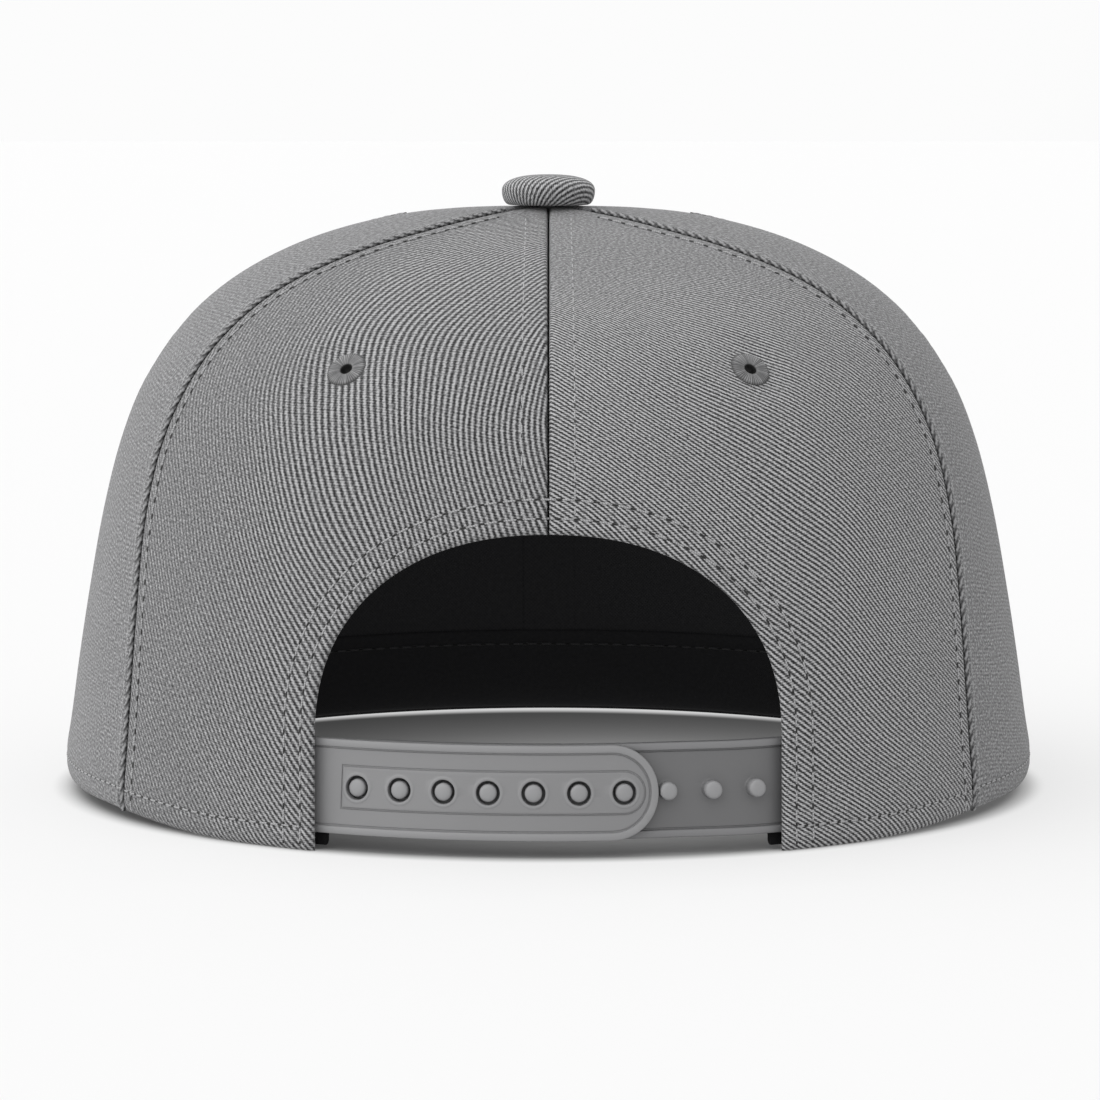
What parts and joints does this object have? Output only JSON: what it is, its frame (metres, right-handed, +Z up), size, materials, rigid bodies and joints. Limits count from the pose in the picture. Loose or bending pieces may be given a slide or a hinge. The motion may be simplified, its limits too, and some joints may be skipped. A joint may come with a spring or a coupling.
{
  "type": "snapback cap",
  "caption": "Structured snapback cap with a flat visor, covered button, stitched eyelets, arched rear opening and plastic snap straps, resting on its rim.",
  "frame": {"origin": "under the middle of the whole cap, on the surface that its rim rests on", "axes": "+Z up through the button, +Y to the back of the cap with its straps, -Y along the visor, +X to the wearer's left"},
  "size_m": [0.1832, 0.2566, 0.1154],
  "materials": {
    "grey_twill": "matte woven twill",
    "grey_thread": "satin stitched thread",
    "black_lining": "matte cotton",
    "black_tape": "matte cotton tape",
    "grey_plastic": "satin moulded"
  },
  "bodies": {
    "root": {"back_panel_left": "grey_twill", "back_panel_right": "grey_twill", "side_panel_left": "grey_twill", "side_panel_right": "grey_twill", "front_panel_left": "grey_twill", "front_panel_right": "grey_twill", "eyelet_back_left": "grey_thread", "eyelet_back_right": "grey_thread", "eyelet_side_left": "grey_thread", "eyelet_side_right": "grey_thread", "eyelet_front_left": "grey_thread", "eyelet_front_right": "grey_thread", "visor": "grey_twill", "top_button": "grey_twill", "front_lining": "black_lining", "sweatband": "black_tape", "snap_strap_with_holes": "grey_plastic", "snap_strap_with_studs": "grey_plastic"}
  },
  "joints": []
}
